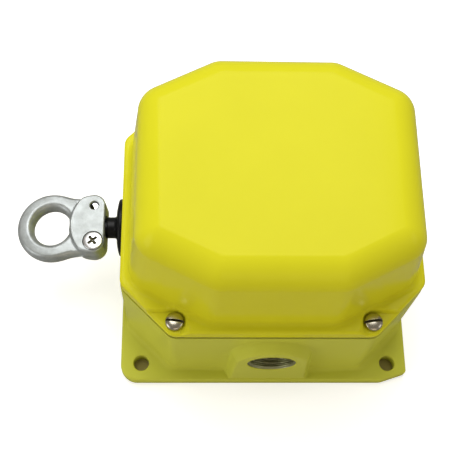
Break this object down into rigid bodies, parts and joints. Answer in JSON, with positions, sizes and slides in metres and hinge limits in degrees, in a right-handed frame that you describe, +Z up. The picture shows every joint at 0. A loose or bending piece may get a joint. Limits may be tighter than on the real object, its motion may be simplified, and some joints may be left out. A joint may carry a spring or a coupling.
{
  "type": "rope pull switch",
  "caption": "Rope pull switch: cast octagonal housing with bolted domed cover, mounting plate, conduit entry and a sprung shaft ending in a swivelling, tilting pull eye.",
  "frame": {"origin": "centre of the underside of the mounting plate, at the middle of the four mounting holes", "axes": "+X away from the pull eye along the shaft, -Y towards the conduit entry, +Z up out of the mounting plate towards the cover"},
  "size_m": [0.1782, 0.1224, 0.1091],
  "materials": {
    "base_paint": "glossy",
    "cover_paint": "glossy",
    "gasket_rubber": "matt",
    "screw_nickel": "polished",
    "boot_rubber": "satin",
    "bronze": "satin",
    "zinc_steel": "satin",
    "ground_green": "satin",
    "shaft_steel": "ground",
    "spring_steel": "satin",
    "cast_zinc": "as cast",
    "bright_screw": "bright",
    "switch_black": "moulded",
    "plunger_red": "moulded"
  },
  "bodies": {
    "housing": {"base_housing": "base_paint", "cover": "cover_paint", "cover_gasket": "gasket_rubber", "cover_screws": "screw_nickel", "shaft_boot": "boot_rubber", "front_bushing": "bronze", "rear_bushing": "bronze", "mechanism_frame": "zinc_steel", "frame_screws": "zinc_steel", "ground_screw": "ground_green", "return_spring": "spring_steel", "lever_pin": "shaft_steel", "pin_clip": "spring_steel", "switch_case_front": "switch_black", "switch_case_rear": "switch_black", "switch_screws": "zinc_steel", "switch_nuts": "zinc_steel", "terminal_screws": "bronze"},
    "shaft": {"pull_shaft": "shaft_steel", "cam_collar": "shaft_steel", "collar_pin": "shaft_steel", "spring_seat": "zinc_steel", "ball_screw": "shaft_steel"},
    "ball": {"swivel_ball": "shaft_steel"},
    "eye": {"eye_half_upper": "cast_zinc", "eye_half_lower": "cast_zinc", "eye_screws": "bright_screw"},
    "lever": {"actuator_lever": "zinc_steel", "roller_pin": "shaft_steel"},
    "roller": {"lever_roller": "shaft_steel"},
    "plunger_front": {"switch_plunger_front": "plunger_red"},
    "plunger_rear": {"switch_plunger_rear": "plunger_red"}
  },
  "joints": [
    {"name": "shaft_pull", "type": "slide", "parent": "housing", "child": "shaft", "axis": [-1, 0, 0], "range_m": [0, 0.01], "stiffness_N_per_m": 1500, "springref_m": -0.008, "deforming": ["return_spring"]},
    {"name": "eye_swivel", "type": "hinge", "parent": "shaft", "child": "ball", "pos_m": [-0.0805, 0, 0.0405], "axis": [1, 0, 0], "continuous": true},
    {"name": "eye_tilt", "type": "hinge", "parent": "ball", "child": "eye", "pos_m": [-0.0805, 0, 0.0405], "axis": [0, 1, 0], "range_deg": [0, 9]},
    {"name": "lever_swing", "type": "hinge", "parent": "housing", "child": "lever", "pos_m": [-0.03, 0, 0.055], "axis": [0, -1, 0], "range_deg": [0, 7.2]},
    {"name": "roller_spin", "type": "hinge", "parent": "lever", "child": "roller", "pos_m": [-0.002, 0, 0.0526], "axis": [0, 1, 0], "continuous": true},
    {"name": "plunger_front_press", "type": "slide", "parent": "housing", "child": "plunger_front", "axis": [0, 0, 1], "range_m": [0, 0.00176]},
    {"name": "plunger_rear_press", "type": "slide", "parent": "housing", "child": "plunger_rear", "axis": [0, 0, 1], "range_m": [0, 0.00176]}
  ],
  "couplings": [
    {"joint": "lever_swing", "follows": "shaft_pull", "rad_per_m": 12.466},
    {"joint": "plunger_front_press", "follows": "shaft_pull", "ratio": 0.175},
    {"joint": "plunger_rear_press", "follows": "shaft_pull", "ratio": 0.175}
  ]
}
